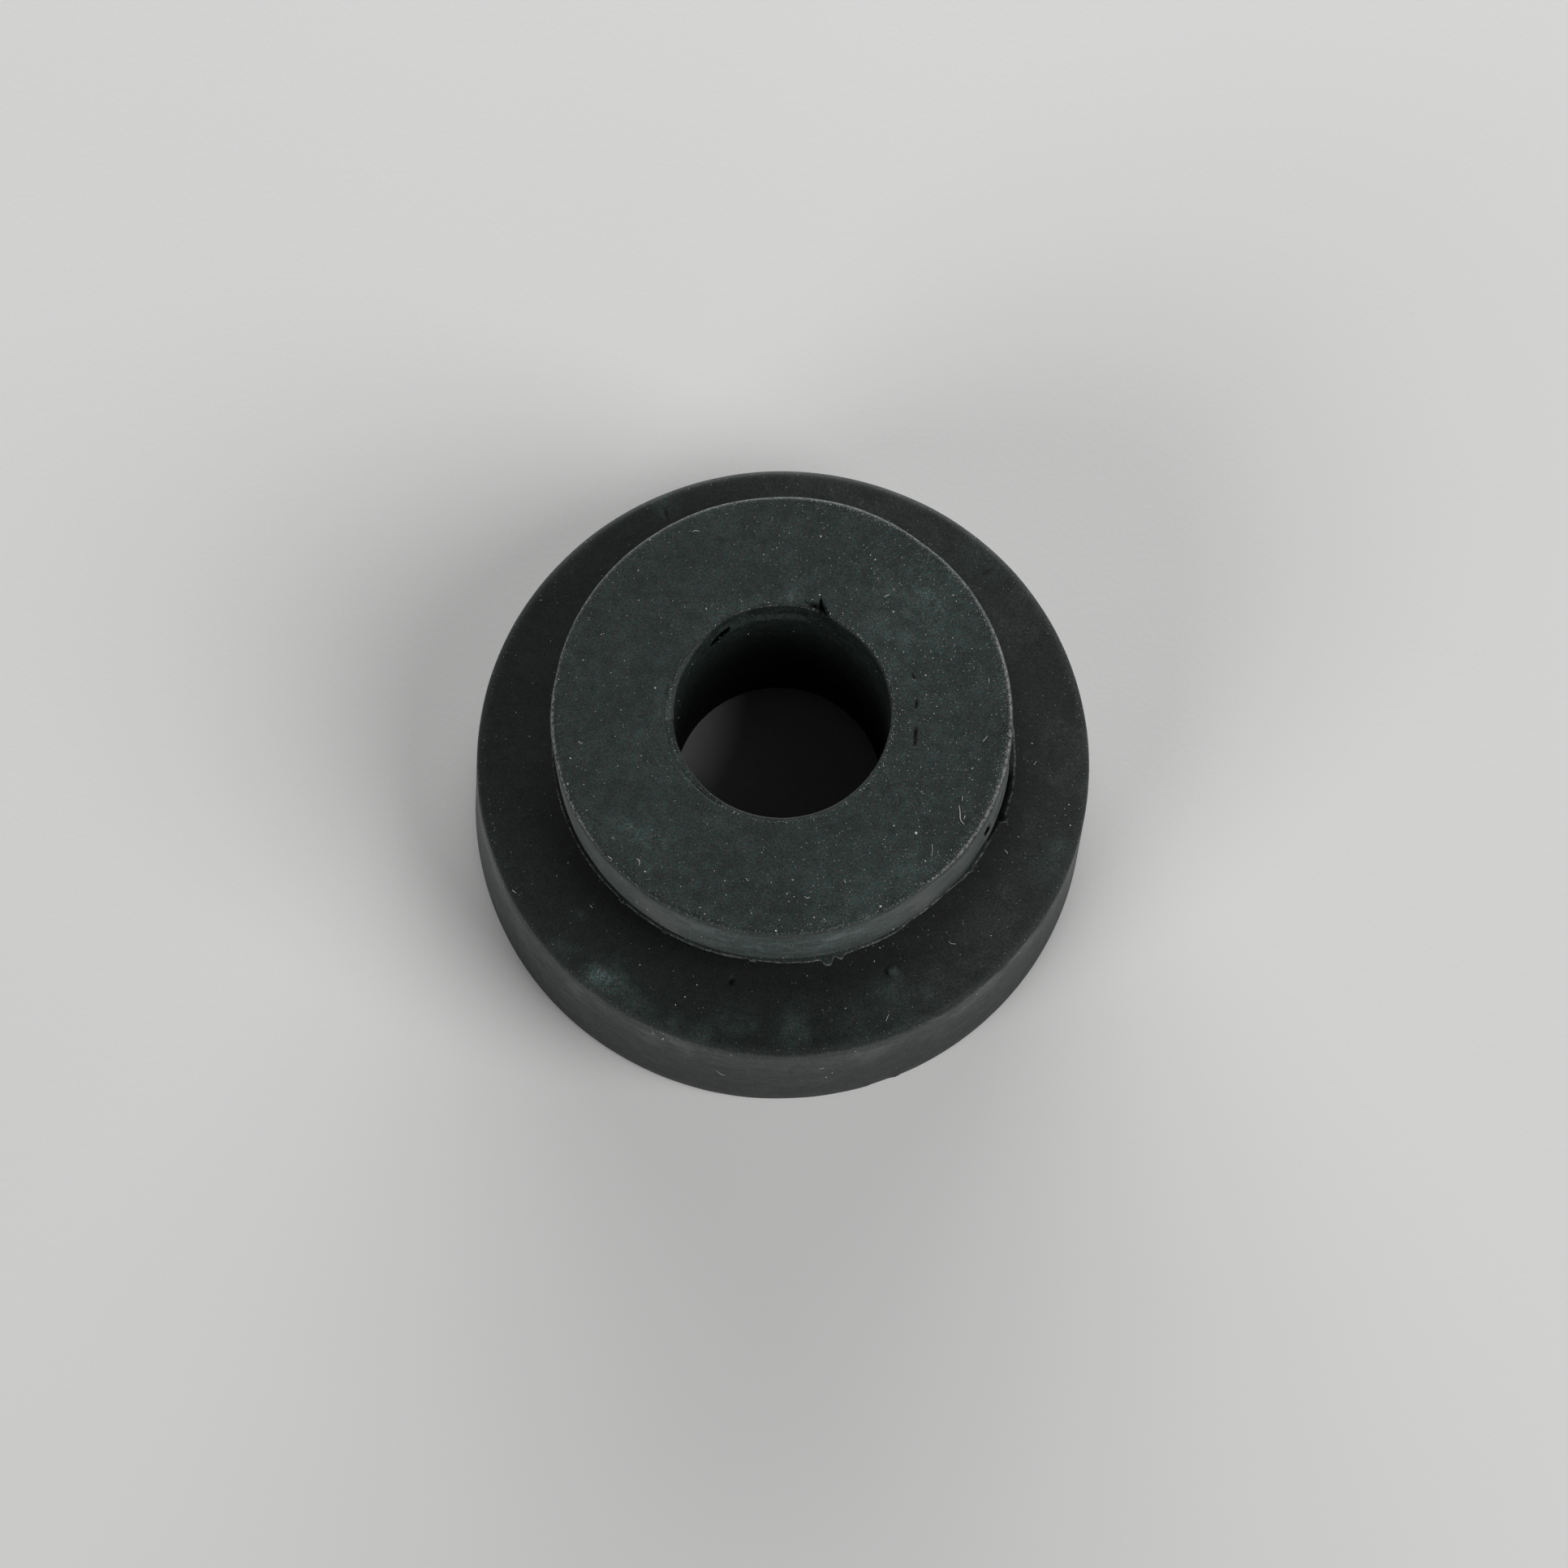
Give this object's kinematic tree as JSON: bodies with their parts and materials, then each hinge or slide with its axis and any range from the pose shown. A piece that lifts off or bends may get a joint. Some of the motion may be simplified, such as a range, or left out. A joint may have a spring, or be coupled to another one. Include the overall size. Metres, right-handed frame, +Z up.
{
  "type": "rubber grommet",
  "caption": "Moulded rubber grommet with a thick round flange, a smaller round boss, a panel groove between them and a straight bore through its axis.",
  "frame": {"origin": "on the axis of the bore, in the plane of the flat base that the grommet stands on", "axes": "+Z up along the axis, from the flange to the boss; X and Y are equal, since the part is round"},
  "size_m": [0.041, 0.041, 0.0205],
  "materials": {
    "rubber": "matte moulded black rubber with a greenish grey bloom, dusty on its upper faces"
  },
  "bodies": {
    "root": {"grommet": "rubber"}
  },
  "joints": []
}
